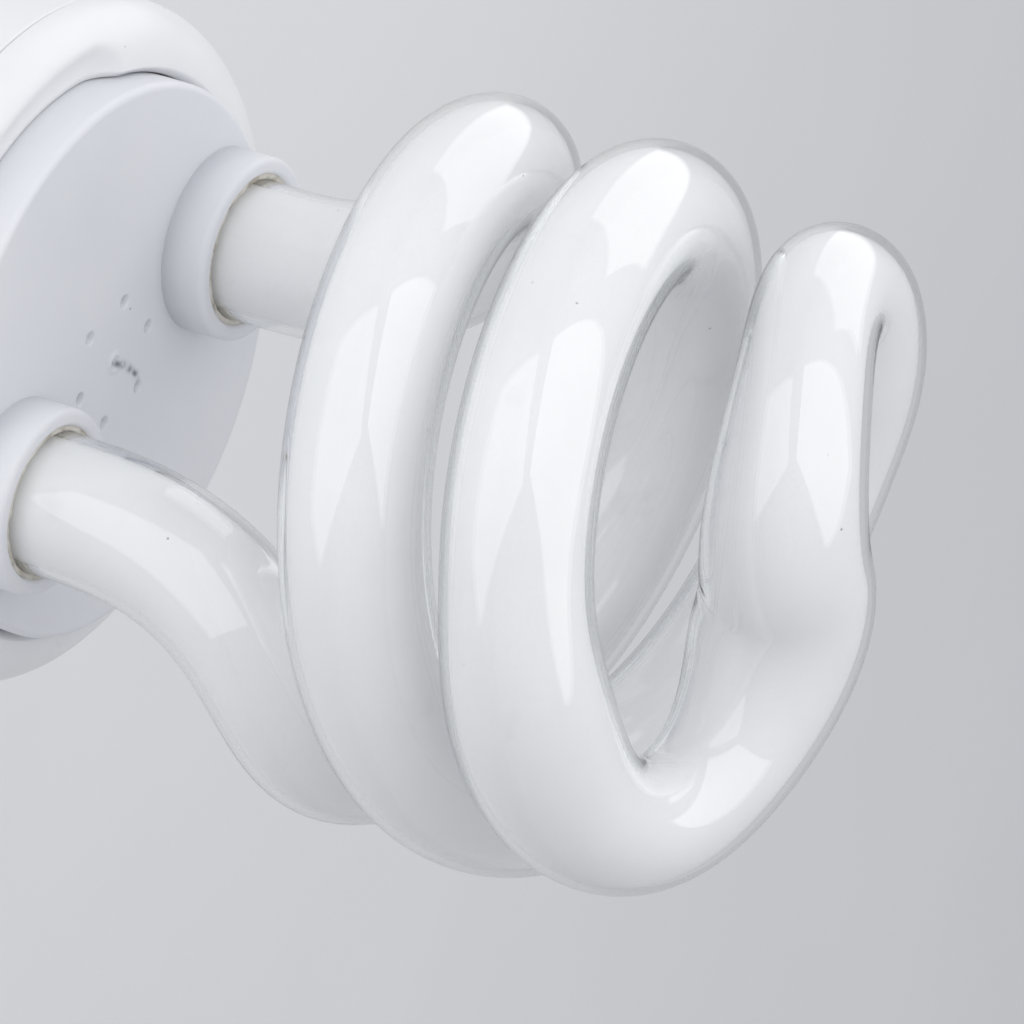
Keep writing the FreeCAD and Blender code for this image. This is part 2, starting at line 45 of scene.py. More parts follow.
# Forms of the lamp in millimetres, as in the part's source
TUBE_RADIUS = 6.0
LEG_OFFSET = 15.7
LEG_END = 65.0
PINCH_LENGTH = 3.0
PINCH_WIDTH = 7.0
PINCH_THICKNESS = 2.4
BEND_START = 80.7
BEND_LEG_REACH = 20.0
BEND_COIL_REACH = 11.1
COIL_RADIUS = 24.45
COIL_PITCH = 29.5
COIL_BOTTOM = 103.8
COIL_FIRST = math.radians(46.2)
COIL_LAST = math.radians(352.6)
BRIDGE_COIL_REACH = 24.9
BRIDGE_MIDDLE_REACH = 13.3
BRIDGE_TURN = math.radians(-10.8)
BRIDGE_RISE = 8.9
PLATE_RADIUS = 23.7
PLATE_TOP = 74.0
PLATE_UNDERSIDE = 72.0
PLATE_SEAT = 69.0
PLATE_EDGE = 0.6
RIM_WALL = 1.8
COLLAR_TOP = 78.0
COLLAR_RADIUS = 7.9
COLLAR_BORE = 6.5
VENT_COUNT = 6
VENT_RADIUS = 0.7
VENT_CIRCLE = 5.2
VENT_AZIMUTH = math.radians(-6.0)
SHELL_RADIUS = 29.3
SHELL_WALL = 1.7
SHOULDER_START = 67.0
SHOULDER_TOP = 71.8
GROOVE_RADIUS = 24.4
SEAT_RADIUS = 21.0
SEAT_BOTTOM = 67.2
LAP_RADIUS = 27.5
LAP_WALL = 1.4
LAP_END = 60.8
SEAM = 66.8
SEAM_GAP = 0.15
RECESS_COUNT = 2
RECESS_RADIUS = 4.0
RECESS_LEVEL = 74.0
RECESS_FIRST = math.radians(-112.0)
RECESS_SPAN = math.radians(72.0)
BOWL_TOP = 54.0
LIP_TOP = 28.5
LIP_RADIUS = 14.9
NECK_RADIUS = 12.6
NECK_BORE = 10.8
NECK_END = 14.0
CAP_TOP = 26.0
CAP_NOSE = 9.4
CAP_EDGE = 6.2
CAP_RADIUS = 13.1
CAP_WALL = 0.4
NOSE_RADIUS = 11.6
CONTACT_RADIUS = 5.0
CONTACT_TOP = 1.2
STUD_RADIUS = 1.4
STUD_TOP = 8.2
INSULATOR_TIP = 6.4
CLEARANCE = 0.05

# Fine forms that the solids leave out, in millimetres, with slopes and rates as plain shares
GLASS_WALL = 0.7
COAT_GAP = 0.05
END_WALL = 1.0
SWELL = 0.7
SWELL_WAVE = 45.0
SWELL_HOLD = 40.0
SWELL_FADE = 22.0
BELLY = 1.4
BELLY_PLACE = -7.5
BELLY_REACH = 8.0
BELLY_SLOPE = 0.7
CURL_REACH = 9.0
CURL_SHIFTS = ((-25.0, (-0.3, 0.1, 0.5)), (25.0, (0.55, -0.15, -0.95)))
THREAD_PITCH = 3.63
THREAD_DEPTH = 1.1
THREAD_FADE = 2.5
VENT_DEPTH = 0.9
VENT_SLOPE = 0.8 * VENT_RADIUS
VENT_FIELD = 6.6
GATE_RADIUS = 0.75
GATE_RISE = 0.18
GATE_WIDTH = 0.22
GATE_FIELD = 4.0
FIELD_GAP = 0.05
RECESS_SOFTNESS = 0.7
GROOVE_CLOSE = 0.6
GROOVE_CLOSE_RATE = 3
COLLAR_ROOT = 0.8
SCUFF = [(0.4, -0.3, PLATE_TOP), (-1.3, 1.5, PLATE_TOP), (-2.3, 3.7, PLATE_TOP)]
SCUFF_WIDTH = 0.3
SOLDER_RADIUS = 2.2
SOLDER_FOOT = 3.1
SOLDER_RISE = 0.35

# Cement in millimetres: drop below the collar, bead as (outward, upward) steps, lumps as (height, frequency)
CEMENT_DROP = 0.45
CEMENT_LUMP_DEPTH = 0.2
BEAD_AT_COLLAR = ((0.0, -0.5), (0.0, -0.1), (0.1, 0.1), (0.0, 0.2), (-0.2, 0.16))
BEAD_AT_GLASS = ((0.08, 0.22), (0.0, 0.08))
CEMENT_LUMPS = ((0.16, 0.9), (0.06, 3.1))

# Roundings of the edges in millimetres
LIP_EDGE = 0.4
RIM_EDGE = 0.25
RIM_INNER_EDGE = 0.2
SEAM_EDGE = 0.07
PLATE_FOOT_EDGE = 0.2
COLLAR_EDGE = 0.55
BORE_EDGE = 0.4
INSULATOR_TIP_EDGE = 0.5
INSULATOR_NOSE_EDGE = 0.6
SOLDER_EDGE = 0.6
SOLDER_FOOT_EDGE = 0.5
CONTACT_EDGE = 0.3
CONTACT_TOP_EDGE = 0.15

# Fineness of the meshes
LEG_STEPS = 8
BEND_STEPS = 36
COIL_STEPS = 140
BRIDGE_STEPS = 44
ARC_STEPS = 48
HOLLOW_STEPS = 24
GATE_RINGS = 32
VENT_RINGS = 52
AROUND_TUBE = 96
AROUND_LATHE = 288
AROUND_FINE = 432
AROUND_COLLAR = 192
THREAD_ROWS = 110
WALL_ROWS = 8
FILLET_STEPS = 6
FILLET_HOLD = 0.12
PINCH_SHARES = (0.15, 0.35, 0.6, 0.8, 1.0)
SAME_PLACE = 1e-7

# Finishes: the levels of a noise between which colour and gloss change, and the marks on white plastic
PATCH_LEVELS = (0.35, 0.65)
GLOSS_LEVELS = (0.3, 0.7)
SPECK_CORE = 0.5
SPECK_SOFTNESS = 0.02
SPECK_COLOUR = (0.34, 0.32, 0.30)
SOIL_COLOUR = (0.20, 0.21, 0.24)


def finished(name, mesh_data, material, node=None, outward=True):
    """A smooth mesh piece that rides on the lamp and may stand for a node of the frame."""
    vertices, faces = mesh_data
    mesh = bpy.data.meshes.new(name)
    mesh.from_pydata((np.asarray(vertices) * MM).tolist(), [], faces)
    work = bmesh.new()
    work.from_mesh(mesh)
    bmesh.ops.remove_doubles(work, verts=work.verts, dist=SAME_PLACE)
    if outward:
        bmesh.ops.recalc_face_normals(work, faces=work.faces)
    work.to_mesh(mesh)
    work.free()
    mesh.shade_smooth()
    mesh.materials.append(material)
    piece = bpy.data.objects.new(name, mesh)
    scene.collection.objects.link(piece)
    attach(piece, "root")
    if node:
        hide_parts(node)
    return piece


def meshed(rows, closed=True):
    """Vertices and faces of rows of points, the last row joined to the first or both ends capped."""
    count, columns = rows.shape[:2]
    faces = []
    for row in range(count if closed else count - 1):
        low = row * columns
        high = (row + 1) % count * columns
        for column in range(columns):
            beside = (column + 1) % columns
            faces.append((low + column, low + beside, high + beside, high + column))
    if not closed:
        faces.append(tuple(reversed(range(columns))))
        faces.append(tuple(range((count - 1) * columns, count * columns)))
    return rows.reshape(-1, 3).tolist(), faces


def joined(parts):
    """Vertices and faces of several meshes as one."""
    vertices = []
    faces = []
    for part_vertices, part_faces in parts:
        shift = len(vertices)
        vertices += part_vertices
        faces += [tuple(index + shift for index in face) for face in part_faces]
    return vertices, faces


def around(columns):
    """Cosines and sines of equal steps once round."""
    angles = np.arange(columns) * (2 * math.pi / columns)
    return np.cos(angles), np.sin(angles)


def eased(share):
    """A share held between 0 and 1 that starts and ends softly."""
    held = np.clip(share, 0.0, 1.0)
    return held * held * (3 - 2 * held)


def lathe(outline, middle=0.0, columns=AROUND_LATHE):
    """Rows of points for an outline of (radius, height) turned about an upright axis on X."""
    cosine, sine = around(columns)
    return np.array([
        np.stack([middle + radius * cosine, radius * sine, np.full(columns, height)], 1)
        for radius, height in outline
    ])


def rounded(corners):
    """Outline through (radius, height, fillet) corners, each corner rounded by its fillet."""
    points = []
    for index, (radius, height, fillet) in enumerate(corners):
        here = Vector((radius, height))
        if not fillet:
            points.append(here)
            continue
        back = (Vector(corners[index - 1][:2]) - here).normalized()
        on = (Vector(corners[(index + 1) % len(corners)][:2]) - here).normalized()
        half = back.angle(on) / 2
        reach = fillet / math.tan(half)
        centre = here + (back + on).normalized() * (fillet / math.sin(half))
        first = here + back * reach - centre
        last = here + on * reach - centre
        points.append(here + back * (reach + FILLET_HOLD))
        for step in range(FILLET_STEPS + 1):
            points.append(centre + first.lerp(last, step / FILLET_STEPS).normalized() * fillet)
        points.append(here + on * (reach + FILLET_HOLD))
    return points


def wall_arc(start, end, steps):
    """Points between two corners on the arc that is upright at the corner with the larger radius."""
    outer = max(start, end)
    inner = min(start, end)
    across = outer[0] - inner[0]
    up = outer[1] - inner[1]
    centre = Vector((outer[0] - (across ** 2 + up ** 2) / (2 * across), outer[1]))
    first = Vector(start) - centre
    turn = first.angle_signed(Vector(end) - centre)
    return [centre + Matrix.Rotation(-turn * step / steps, 2) @ first for step in range(1, steps)]


def bezier(poles, steps):
    """Points of a cubic curve, without its end."""
    t = (np.arange(steps) / steps)[:, None]
    a, b, c, d = (np.asarray(pole, float) for pole in poles)
    return (1 - t) ** 3 * a + 3 * (1 - t) ** 2 * t * b + 3 * (1 - t) * t ** 2 * c + t ** 3 * d


def tube_centreline(leg_end):
    """The whole tube's centreline: leg, bend, coil and half the bridge, then the same turned half round."""
    slope = math.atan2(COIL_PITCH, 2 * math.pi * COIL_RADIUS)

    def coil_point(angle):
        height = COIL_BOTTOM + COIL_PITCH * (angle - COIL_FIRST) / (2 * math.pi)
        return np.array([COIL_RADIUS * math.cos(angle), COIL_RADIUS * math.sin(angle), height])

    def coil_direction(angle):
        flat = math.cos(slope)
        return np.array([-math.sin(angle) * flat, math.cos(angle) * flat, math.sin(slope)])

    up = np.array([0.0, 0.0, 1.0])
    bend_start = np.array([LEG_OFFSET, 0.0, BEND_START])
    leg = np.linspace([LEG_OFFSET, 0.0, leg_end], bend_start, LEG_STEPS, endpoint=False)
    bend = bezier([
        bend_start,
        bend_start + up * BEND_LEG_REACH,
        coil_point(COIL_FIRST) - coil_direction(COIL_FIRST) * BEND_COIL_REACH,
        coil_point(COIL_FIRST),
    ], BEND_STEPS)
    turns = np.linspace(COIL_FIRST, COIL_LAST, COIL_STEPS, endpoint=False)
    coil = np.array([coil_point(angle) for angle in turns])
    across = COIL_LAST + math.pi / 2 - BRIDGE_TURN
    tip = up * (coil_point(COIL_LAST)[2] + BRIDGE_RISE)
    bridge = bezier([
        coil_point(COIL_LAST),
        coil_point(COIL_LAST) + coil_direction(COIL_LAST) * BRIDGE_COIL_REACH,
        tip + np.array([math.cos(across), math.sin(across), 0.0]) * BRIDGE_MIDDLE_REACH,
        tip,
    ], BRIDGE_STEPS)
    strand = np.vstack([leg, bend, coil, bridge])
    return np.vstack([strand, [tip], (strand * [-1.0, -1.0, 1.0])[::-1]])


def drawn_bridge(path):
    """The centreline with the bridge's curls slightly shifted, its swelling and its fuller underside."""
    run = np.concatenate([[0.0], np.cumsum(np.linalg.norm(np.diff(path, axis=0), axis=1))])
    run -= run[-1] / 2
    shifted = path.copy()
    for place, shift in CURL_SHIFTS:
        shifted += np.exp(-((run - place) / CURL_REACH) ** 2)[:, None] * shift
    fade = 1 - eased((np.abs(run) - SWELL_HOLD) / SWELL_FADE)
    swell = SWELL * fade * np.cos(2 * math.pi * run / SWELL_WAVE)
    return shifted, swell, BELLY * np.exp(-((run - BELLY_PLACE) / BELLY_REACH) ** 2)


def tube_frames(path):
    """Two directions across the tube at each point, carried along it without twist."""
    along = np.gradient(path, axis=0)
    along /= np.linalg.norm(along, axis=1)[:, None]
    side = np.array([0.0, 1.0, 0.0])
    sides = []
    for direction in along:
        side = side - direction * (side @ direction)
        side /= np.linalg.norm(side)
        sides.append(side)
    sides = np.array(sides)
    return sides, np.cross(along, sides)


def tube_skin(radius, leg_end, pinched=False):
    """Closed round skin along the tube, its ends drawn down to a flat pinch or capped."""
    path, swell, belly = drawn_bridge(tube_centreline(leg_end))
    sides, others = tube_frames(path)
    cosine, sine = (part[:, None] for part in around(AROUND_TUBE))
    flat = np.array([PINCH_THICKNESS, PINCH_WIDTH, 0.0]) / 2

    def ring(index):
        outward = cosine * sides[index] + sine * others[index]
        fuller = belly[index] * eased(-outward[:, 2:] / BELLY_SLOPE)
        return path[index] + (radius + swell[index] + fuller) * outward

    def drawn(index, share):
        half = radius + (flat - radius) * (1 - (1 - share) ** 2)
        drop = np.array([0.0, 0.0, PINCH_LENGTH * share])
        return path[index] - drop + half * (cosine * sides[index] + sine * others[index])

    rows = [ring(index) for index in range(len(path))]
    if pinched:
        start = [drawn(0, share) for share in reversed(PINCH_SHARES)]
        rows = start + rows + [drawn(-1, share) for share in PINCH_SHARES]
    return meshed(np.array(rows), closed=False)


class Surface:
    """A node material under construction, its textures in the lamp's own frame."""

    def __init__(self, name, colour, roughness, **constants):
        self.material = bpy.data.materials.new(name)
        self.material.use_nodes = True
        self.nodes = self.material.node_tree.nodes
        self.links = self.material.node_tree.links
        self.shader = self.nodes["Principled BSDF"]
        self.shader.inputs["Base Color"].default_value = (*colour, 1.0)
        self.shader.inputs["Roughness"].default_value = roughness
        for key, value in constants.items():
            self.shader.inputs[key.replace("_", " ")].default_value = value
        self.place = self.nodes.new("ShaderNodeTexCoord").outputs["Object"]

    def noise(self, grain, detail=3.0, stretch=(1.0, 1.0, 1.0)):
        """Noise whose features are about one grain across, in millimetres."""
        scaled = self.nodes.new("ShaderNodeMapping")
        scaled.inputs["Scale"].default_value = stretch
        self.links.new(self.place, scaled.inputs["Vector"])
        texture = self.nodes.new("ShaderNodeTexNoise")
        texture.inputs["Scale"].default_value = 1.0 / (grain * MM)
        texture.inputs["Detail"].default_value = detail
        self.links.new(scaled.outputs["Vector"], texture.inputs["Vector"])
        return texture.outputs["Fac"]

    def ramp(self, value, *stops):
        """A colour or grey level for each position of a value."""
        ramp = self.nodes.new("ShaderNodeValToRGB")
        elements = ramp.color_ramp.elements
        while len(elements) < len(stops):
            elements.new(0.5)
        for element, (position, colour) in zip(elements, stops):
            element.position = position
            element.color = (*colour, 1.0) if isinstance(colour, tuple) else (colour, colour, colour, 1.0)
        self.links.new(value, ramp.inputs["Fac"])
        return ramp.outputs["Color"]

    def product(self, first, second):
        """Two grey levels multiplied."""
        times = self.nodes.new("ShaderNodeMath")
        times.operation = "MULTIPLY"
        self.links.new(first, times.inputs[0])
        self.links.new(second, times.inputs[1])
        return times.outputs["Value"]

    def over(self, share, below, above):
        """A plain colour laid over another by a share."""
        mixed = self.nodes.new("ShaderNodeMix")
        mixed.data_type = "RGBA"
        sockets = {socket.identifier: socket for socket in mixed.inputs}
        self.links.new(share, sockets["Factor_Float"])
        self.links.new(below, sockets["A_Color"])
        sockets["B_Color"].default_value = (*above, 1.0)
        return next(socket for socket in mixed.outputs if socket.identifier == "Result_Color")

    def specks(self, spacing, size, chosen):
        """Mask of small specks, spacing and size in millimetres, in the cells above a chosen level."""
        cells = self.nodes.new("ShaderNodeTexVoronoi")
        cells.inputs["Scale"].default_value = 1.0 / (spacing * MM)
        self.links.new(self.place, cells.inputs["Vector"])
        reach = size / spacing
        near = self.ramp(cells.outputs["Distance"], (SPECK_CORE * reach, 1.0), (reach, 0.0))
        picked = self.ramp(cells.outputs["Color"], (chosen - SPECK_SOFTNESS, 0.0), (chosen, 1.0))
        return self.product(near, picked)

    def soil(self, grain):
        """Mask of the piece's own soiled places, broken up by noise."""
        stored = self.nodes.new("ShaderNodeAttribute")
        stored.attribute_name = "soil"
        broken = self.ramp(self.noise(grain, detail=4.0), (0.35, 0.2), (0.6, 1.0))
        return self.product(stored.outputs["Fac"], broken)

    def drive(self, socket, value):
        """Let a value set one of the shader's sockets."""
        self.links.new(value, self.shader.inputs[socket])

    def bump(self, height, depth):
        """Relief of a height map, its depth in millimetres."""
        relief = self.nodes.new("ShaderNodeBump")
        relief.inputs["Distance"].default_value = depth * MM
        self.links.new(height, relief.inputs["Height"])
        self.links.new(relief.outputs["Normal"], self.shader.inputs["Normal"])


def soiled(piece, stroke, width):
    """Store on a piece's points how near they lie to a stroke of dirt."""
    count = len(piece.data.vertices)
    flat = np.empty(count * 3)
    piece.data.vertices.foreach_get("co", flat)
    points = flat.reshape(-1, 3) / MM
    level = np.zeros(count)
    for first, last in zip(np.array(stroke), np.array(stroke[1:])):
        way = last - first
        share = np.clip((points - first) @ way / (way @ way), 0.0, 1.0)
        distance = np.linalg.norm(points - first - share[:, None] * way, axis=1)
        level = np.maximum(level, np.exp(-(distance / width) ** 2))
    piece.data.attributes.new("soil", "FLOAT", "POINT").data.foreach_set("value", level)


def varied(name, colours, grain, roughness, relief_grain, relief, stretch=(1.0, 1.0, 1.0), **constants):
    """A finish between two colours in soft patches, with matching gloss and a fine relief."""
    surface = Surface(name, colours[0], roughness[0], **constants)
    patches = surface.noise(grain, detail=4.0, stretch=stretch)
    surface.drive("Base Color", surface.ramp(patches, *zip(PATCH_LEVELS, colours)))
    surface.drive("Roughness", surface.ramp(patches, *zip(GLOSS_LEVELS, roughness)))
    surface.bump(surface.noise(relief_grain, detail=2.0, stretch=stretch), relief)
    return surface.material


def moulded_plastic(name, colours, roughness, relief, speck_level):
    """White moulded plastic with faint patches, small dark specks and soiled places."""
    surface = Surface(name, colours[0], roughness[0])
    patches = surface.noise(grain=14.0, detail=4.0)
    colour = surface.ramp(patches, *zip(PATCH_LEVELS, colours))
    colour = surface.over(surface.specks(spacing=1.5, size=0.16, chosen=speck_level), colour, SPECK_COLOUR)
    colour = surface.over(surface.soil(grain=0.7), colour, SOIL_COLOUR)
    surface.drive("Base Color", colour)
    surface.drive("Roughness", surface.ramp(patches, *zip(GLOSS_LEVELS, roughness)))
    surface.bump(surface.noise(grain=0.35, detail=2.0), relief)
    return surface.material


def glass_finish():
    """Clear, faintly green glass with a breath of handling marks."""
    surface = Surface("clear_glass", (0.982, 0.992, 0.986), 0.0, Transmission_Weight=1.0, IOR=1.5)
    marks = surface.noise(grain=9.0, detail=6.0)
    surface.drive("Roughness", surface.ramp(marks, (0.6, 0.0), (0.85, 0.03)))
    return surface.material


def coat_finish():
    """White powder on the inside of the glass, slightly cloudy, with small specks."""
    surface = Surface("powder_coat", (0.86, 0.86, 0.87), 1.0, Specular_IOR_Level=0.0)
    clouds = surface.noise(grain=11.0, detail=5.0)
    colour = surface.ramp(clouds, (0.3, (0.835, 0.836, 0.846)), (0.7, (0.872, 0.872, 0.880)))
    grains = surface.noise(grain=0.22, detail=2.0)
    colour = surface.over(surface.ramp(grains, (0.5, 0.0), (0.8, 0.5)), colour, (0.78, 0.78, 0.79))
    smudges = surface.ramp(surface.noise(grain=6.0, detail=6.0), (0.68, 0.0), (0.78, 0.35))
    colour = surface.over(smudges, colour, (0.70, 0.70, 0.715))
    colour = surface.over(surface.specks(spacing=1.7, size=0.13, chosen=0.8), colour, (0.30, 0.30, 0.30))
    surface.drive("Base Color", colour)
    surface.bump(grains, depth=0.008)
    return surface.material


def housing_forms():
    """Lower bowl and shoulder ring of the housing."""
    plastic = moulded_plastic(
        "housing_plastic", ((0.86, 0.865, 0.875), (0.885, 0.888, 0.896)),
        roughness=(0.26, 0.36), relief=0.006, speck_level=0.9,
    )
    inner = SHELL_RADIUS - SHELL_WALL
    rim = SEAM - SEAM_GAP
    lip = (LIP_RADIUS, LIP_TOP)
    foot = rounded([
        (NECK_BORE, NECK_END, 0), (NECK_RADIUS, NECK_END, 0), (NECK_RADIUS, CAP_TOP, 0),
        (LIP_RADIUS, CAP_TOP, LIP_EDGE), (*lip, 0),
    ])
    bowl = wall_arc(lip, (SHELL_RADIUS, BOWL_TOP), ARC_STEPS)
    wall = rounded([
        (SHELL_RADIUS, BOWL_TOP, 0), (SHELL_RADIUS, rim, RIM_EDGE),
        (inner, rim, RIM_INNER_EDGE), (inner, BOWL_TOP, 0),
    ])
    hollow = wall_arc((inner, BOWL_TOP), (NECK_BORE, LIP_TOP), HOLLOW_STEPS)
    outline = foot + bowl + wall + hollow + [(NECK_BORE, LIP_TOP)]
    finished("lower_housing_form", meshed(lathe(outline)), plastic, "lower_housing")
    finished("upper_shell_form", meshed(shoulder_rows()), plastic, "upper_shell")


def shoulder_rows():
    """Rows of points of the shoulder ring with its groove and two soft hollows along the groove."""
    outside = rounded([
        (LAP_RADIUS - LAP_WALL, LAP_END, 0), (LAP_RADIUS, LAP_END, 0), (LAP_RADIUS, SEAM, 0),
        (SHELL_RADIUS, SEAM, SEAM_EDGE), (SHELL_RADIUS, SHOULDER_START, 0),
    ])
    top = (GROOVE_RADIUS, SHOULDER_TOP)
    crest = wall_arc((SHELL_RADIUS, SHOULDER_START), top, ARC_STEPS) + [top]
    heights = np.linspace(SHOULDER_TOP, PLATE_SEAT, WALL_ROWS + 1)[1:]
    inside = [(GROOVE_RADIUS, height) for height in heights]
    seat = [(SEAT_RADIUS, PLATE_SEAT), (SEAT_RADIUS, SEAT_BOTTOM), (LAP_RADIUS - LAP_WALL, SEAT_BOTTOM)]
    rows = lathe(outside + crest + inside + seat, columns=AROUND_FINE)
    first = len(outside)
    last = first + len(crest) - 1
    hills = rows[first:last + 1]
    azimuth = np.arctan2(hills[..., 1], hills[..., 0])
    for number in range(RECESS_COUNT):
        middle = RECESS_FIRST + RECESS_SPAN / 2 + number * 2 * math.pi / RECESS_COUNT
        offset = (azimuth - middle + math.pi) % (2 * math.pi) - math.pi
        nearest = middle + np.clip(offset, -RECESS_SPAN / 2, RECESS_SPAN / 2)
        across = hills[..., 0] - GROOVE_RADIUS * np.cos(nearest)
        along = hills[..., 1] - GROOVE_RADIUS * np.sin(nearest)
        away = np.hypot(across, along)
        floor = RECESS_LEVEL - np.sqrt(np.clip(RECESS_RADIUS ** 2 - away ** 2, 0.0, None))
        gap = np.sqrt((hills[..., 2] - floor) ** 2 + RECESS_SOFTNESS ** 2)
        hills[..., 2] = (hills[..., 2] + floor - gap) / 2
    for row in range(1, WALL_ROWS + 1):
        share = row / WALL_ROWS
        rows[last + row, :, 2] = PLATE_SEAT + (rows[last, :, 2] - PLATE_SEAT) * (1 - share)
        rows[last + row, :, :2] *= 1 - GROOVE_CLOSE / GROOVE_RADIUS * eased(GROOVE_CLOSE_RATE * share)
    return rows


def plate_form():
    """Tube plate with rounded rim, ring of vents, gate mark, scuff and a collar round each leg."""
    plastic = moulded_plastic(
        "plate_plastic", ((0.79, 0.80, 0.836), (0.815, 0.824, 0.855)),
        roughness=(0.42, 0.55), relief=0.010, speck_level=0.88,
    )
    reaches = np.concatenate([
        np.linspace(0.0, GATE_FIELD, GATE_RINGS),
        np.linspace(GATE_FIELD + FIELD_GAP, VENT_FIELD, VENT_RINGS),
    ])
    inside = PLATE_RADIUS - RIM_WALL
    rim = rounded([
        (PLATE_RADIUS, PLATE_TOP, PLATE_EDGE), (PLATE_RADIUS, PLATE_SEAT, PLATE_FOOT_EDGE),
        (inside, PLATE_SEAT, 0), (inside, PLATE_UNDERSIDE, 0), (0.0, PLATE_UNDERSIDE, 0),
    ])
    rows = lathe([(reach, PLATE_TOP) for reach in reaches] + rim, columns=AROUND_FINE)
    face = rows[:len(reaches)]
    for number in range(VENT_COUNT):
        azimuth = VENT_AZIMUTH + number * 2 * math.pi / VENT_COUNT
        across = face[..., 0] - VENT_CIRCLE * math.cos(azimuth)
        along = face[..., 1] - VENT_CIRCLE * math.sin(azimuth)
        face[..., 2] -= VENT_DEPTH * eased((VENT_RADIUS - np.hypot(across, along)) / VENT_SLOPE)
    gate = np.hypot(face[..., 0], face[..., 1]) - GATE_RADIUS
    face[..., 2] += GATE_RISE * np.exp(-(gate / GATE_WIDTH) ** 2)
    parts = [meshed(rows)]
    collar_foot = PLATE_TOP - PLATE_EDGE
    root = COLLAR_BORE + COLLAR_ROOT
    collar = rounded([
        (COLLAR_RADIUS, collar_foot, 0), (COLLAR_RADIUS, COLLAR_TOP, COLLAR_EDGE),
        (COLLAR_BORE, COLLAR_TOP, BORE_EDGE), (COLLAR_BORE, PLATE_SEAT, 0),
        (root, PLATE_SEAT, 0), (root, collar_foot, 0),
    ])
    for side in (1, -1):
        parts.append(meshed(lathe(collar, side * LEG_OFFSET, AROUND_COLLAR)))
    piece = finished("tube_plate_form", joined(parts), plastic, "tube_plate")
    soiled(piece, SCUFF, SCUFF_WIDTH)


def cement_form():
    """Uneven cement between each leg and its collar."""
    surface = Surface("cement", (0.70, 0.67, 0.58), 0.85)
    lumps = surface.noise(grain=1.6, detail=5.0)
    surface.drive("Base Color", surface.ramp(
        lumps, (0.3, (0.40, 0.37, 0.31)), (0.45, (0.66, 0.63, 0.56)), (0.7, (0.80, 0.78, 0.72))))
    surface.bump(surface.noise(grain=0.4, detail=4.0), depth=0.06)
    inner = TUBE_RADIUS + CLEARANCE
    outer = COLLAR_BORE - CLEARANCE
    top = COLLAR_TOP - CEMENT_DROP
    outline = [(inner, PLATE_SEAT), (outer, PLATE_SEAT)]
    outline += [(outer + outward, top + upward) for outward, upward in BEAD_AT_COLLAR]
    outline += [(inner + outward, top + upward) for outward, upward in BEAD_AT_GLASS]
    parts = []
    for side in (1, -1):
        vertices, faces = meshed(lathe(outline, side * LEG_OFFSET, AROUND_COLLAR))
        for vertex in vertices:
            if vertex[2] > top - CEMENT_LUMP_DEPTH:
                place = Vector(vertex)
                vertex[2] += sum(height * noise.noise(place * often) for height, often in CEMENT_LUMPS)
        parts.append((vertices, faces))
    finished("cement_form", joined(parts), surface.material, "cement_rings")


def tube_forms():
    """Clear wall of the tube and the white coat just inside it."""
    bore = TUBE_RADIUS - GLASS_WALL
    inner, inner_faces = tube_skin(bore, LEG_END + END_WALL)
    lining = (inner, [tuple(reversed(face)) for face in inner_faces])
    wall = joined([tube_skin(TUBE_RADIUS, LEG_END, pinched=True), lining])
    glass = finished("tube_wall", wall, glass_finish(), "glass_tube", outward=False)
    glass.visible_shadow = False
    glass.visible_diffuse = False
    coat = tube_skin(bore - COAT_GAP, LEG_END + END_WALL + COAT_GAP)
    finished("tube_coat", coat, coat_finish())


def thread_rows():
    """Rows of points of the thin screw shell: rolled thread up the outside and down the inside."""
    cosine, sine = around(AROUND_LATHE)
    angles = np.arange(AROUND_LATHE) * (2 * math.pi / AROUND_LATHE)

    def ring(height, radius):
        return np.stack([radius * cosine, radius * sine, np.full(AROUND_LATHE, height)], 1)

    def rolled(height, wall):
        depth = THREAD_DEPTH * eased(min(height - CAP_NOSE, CAP_TOP - height) / THREAD_FADE)
        wave = 0.5 - 0.5 * np.cos(2 * math.pi * height / THREAD_PITCH - angles)
        return ring(height, CAP_RADIUS - wall - depth * wave)

    heights = np.linspace(CAP_NOSE, CAP_TOP, THREAD_ROWS)
    outside = [ring(CAP_EDGE, NOSE_RADIUS)] + [rolled(height, 0.0) for height in heights]
    inside = [rolled(height, CAP_WALL) for height in reversed(heights)]
    return np.array(outside + inside + [ring(CAP_EDGE, NOSE_RADIUS - CAP_WALL)])


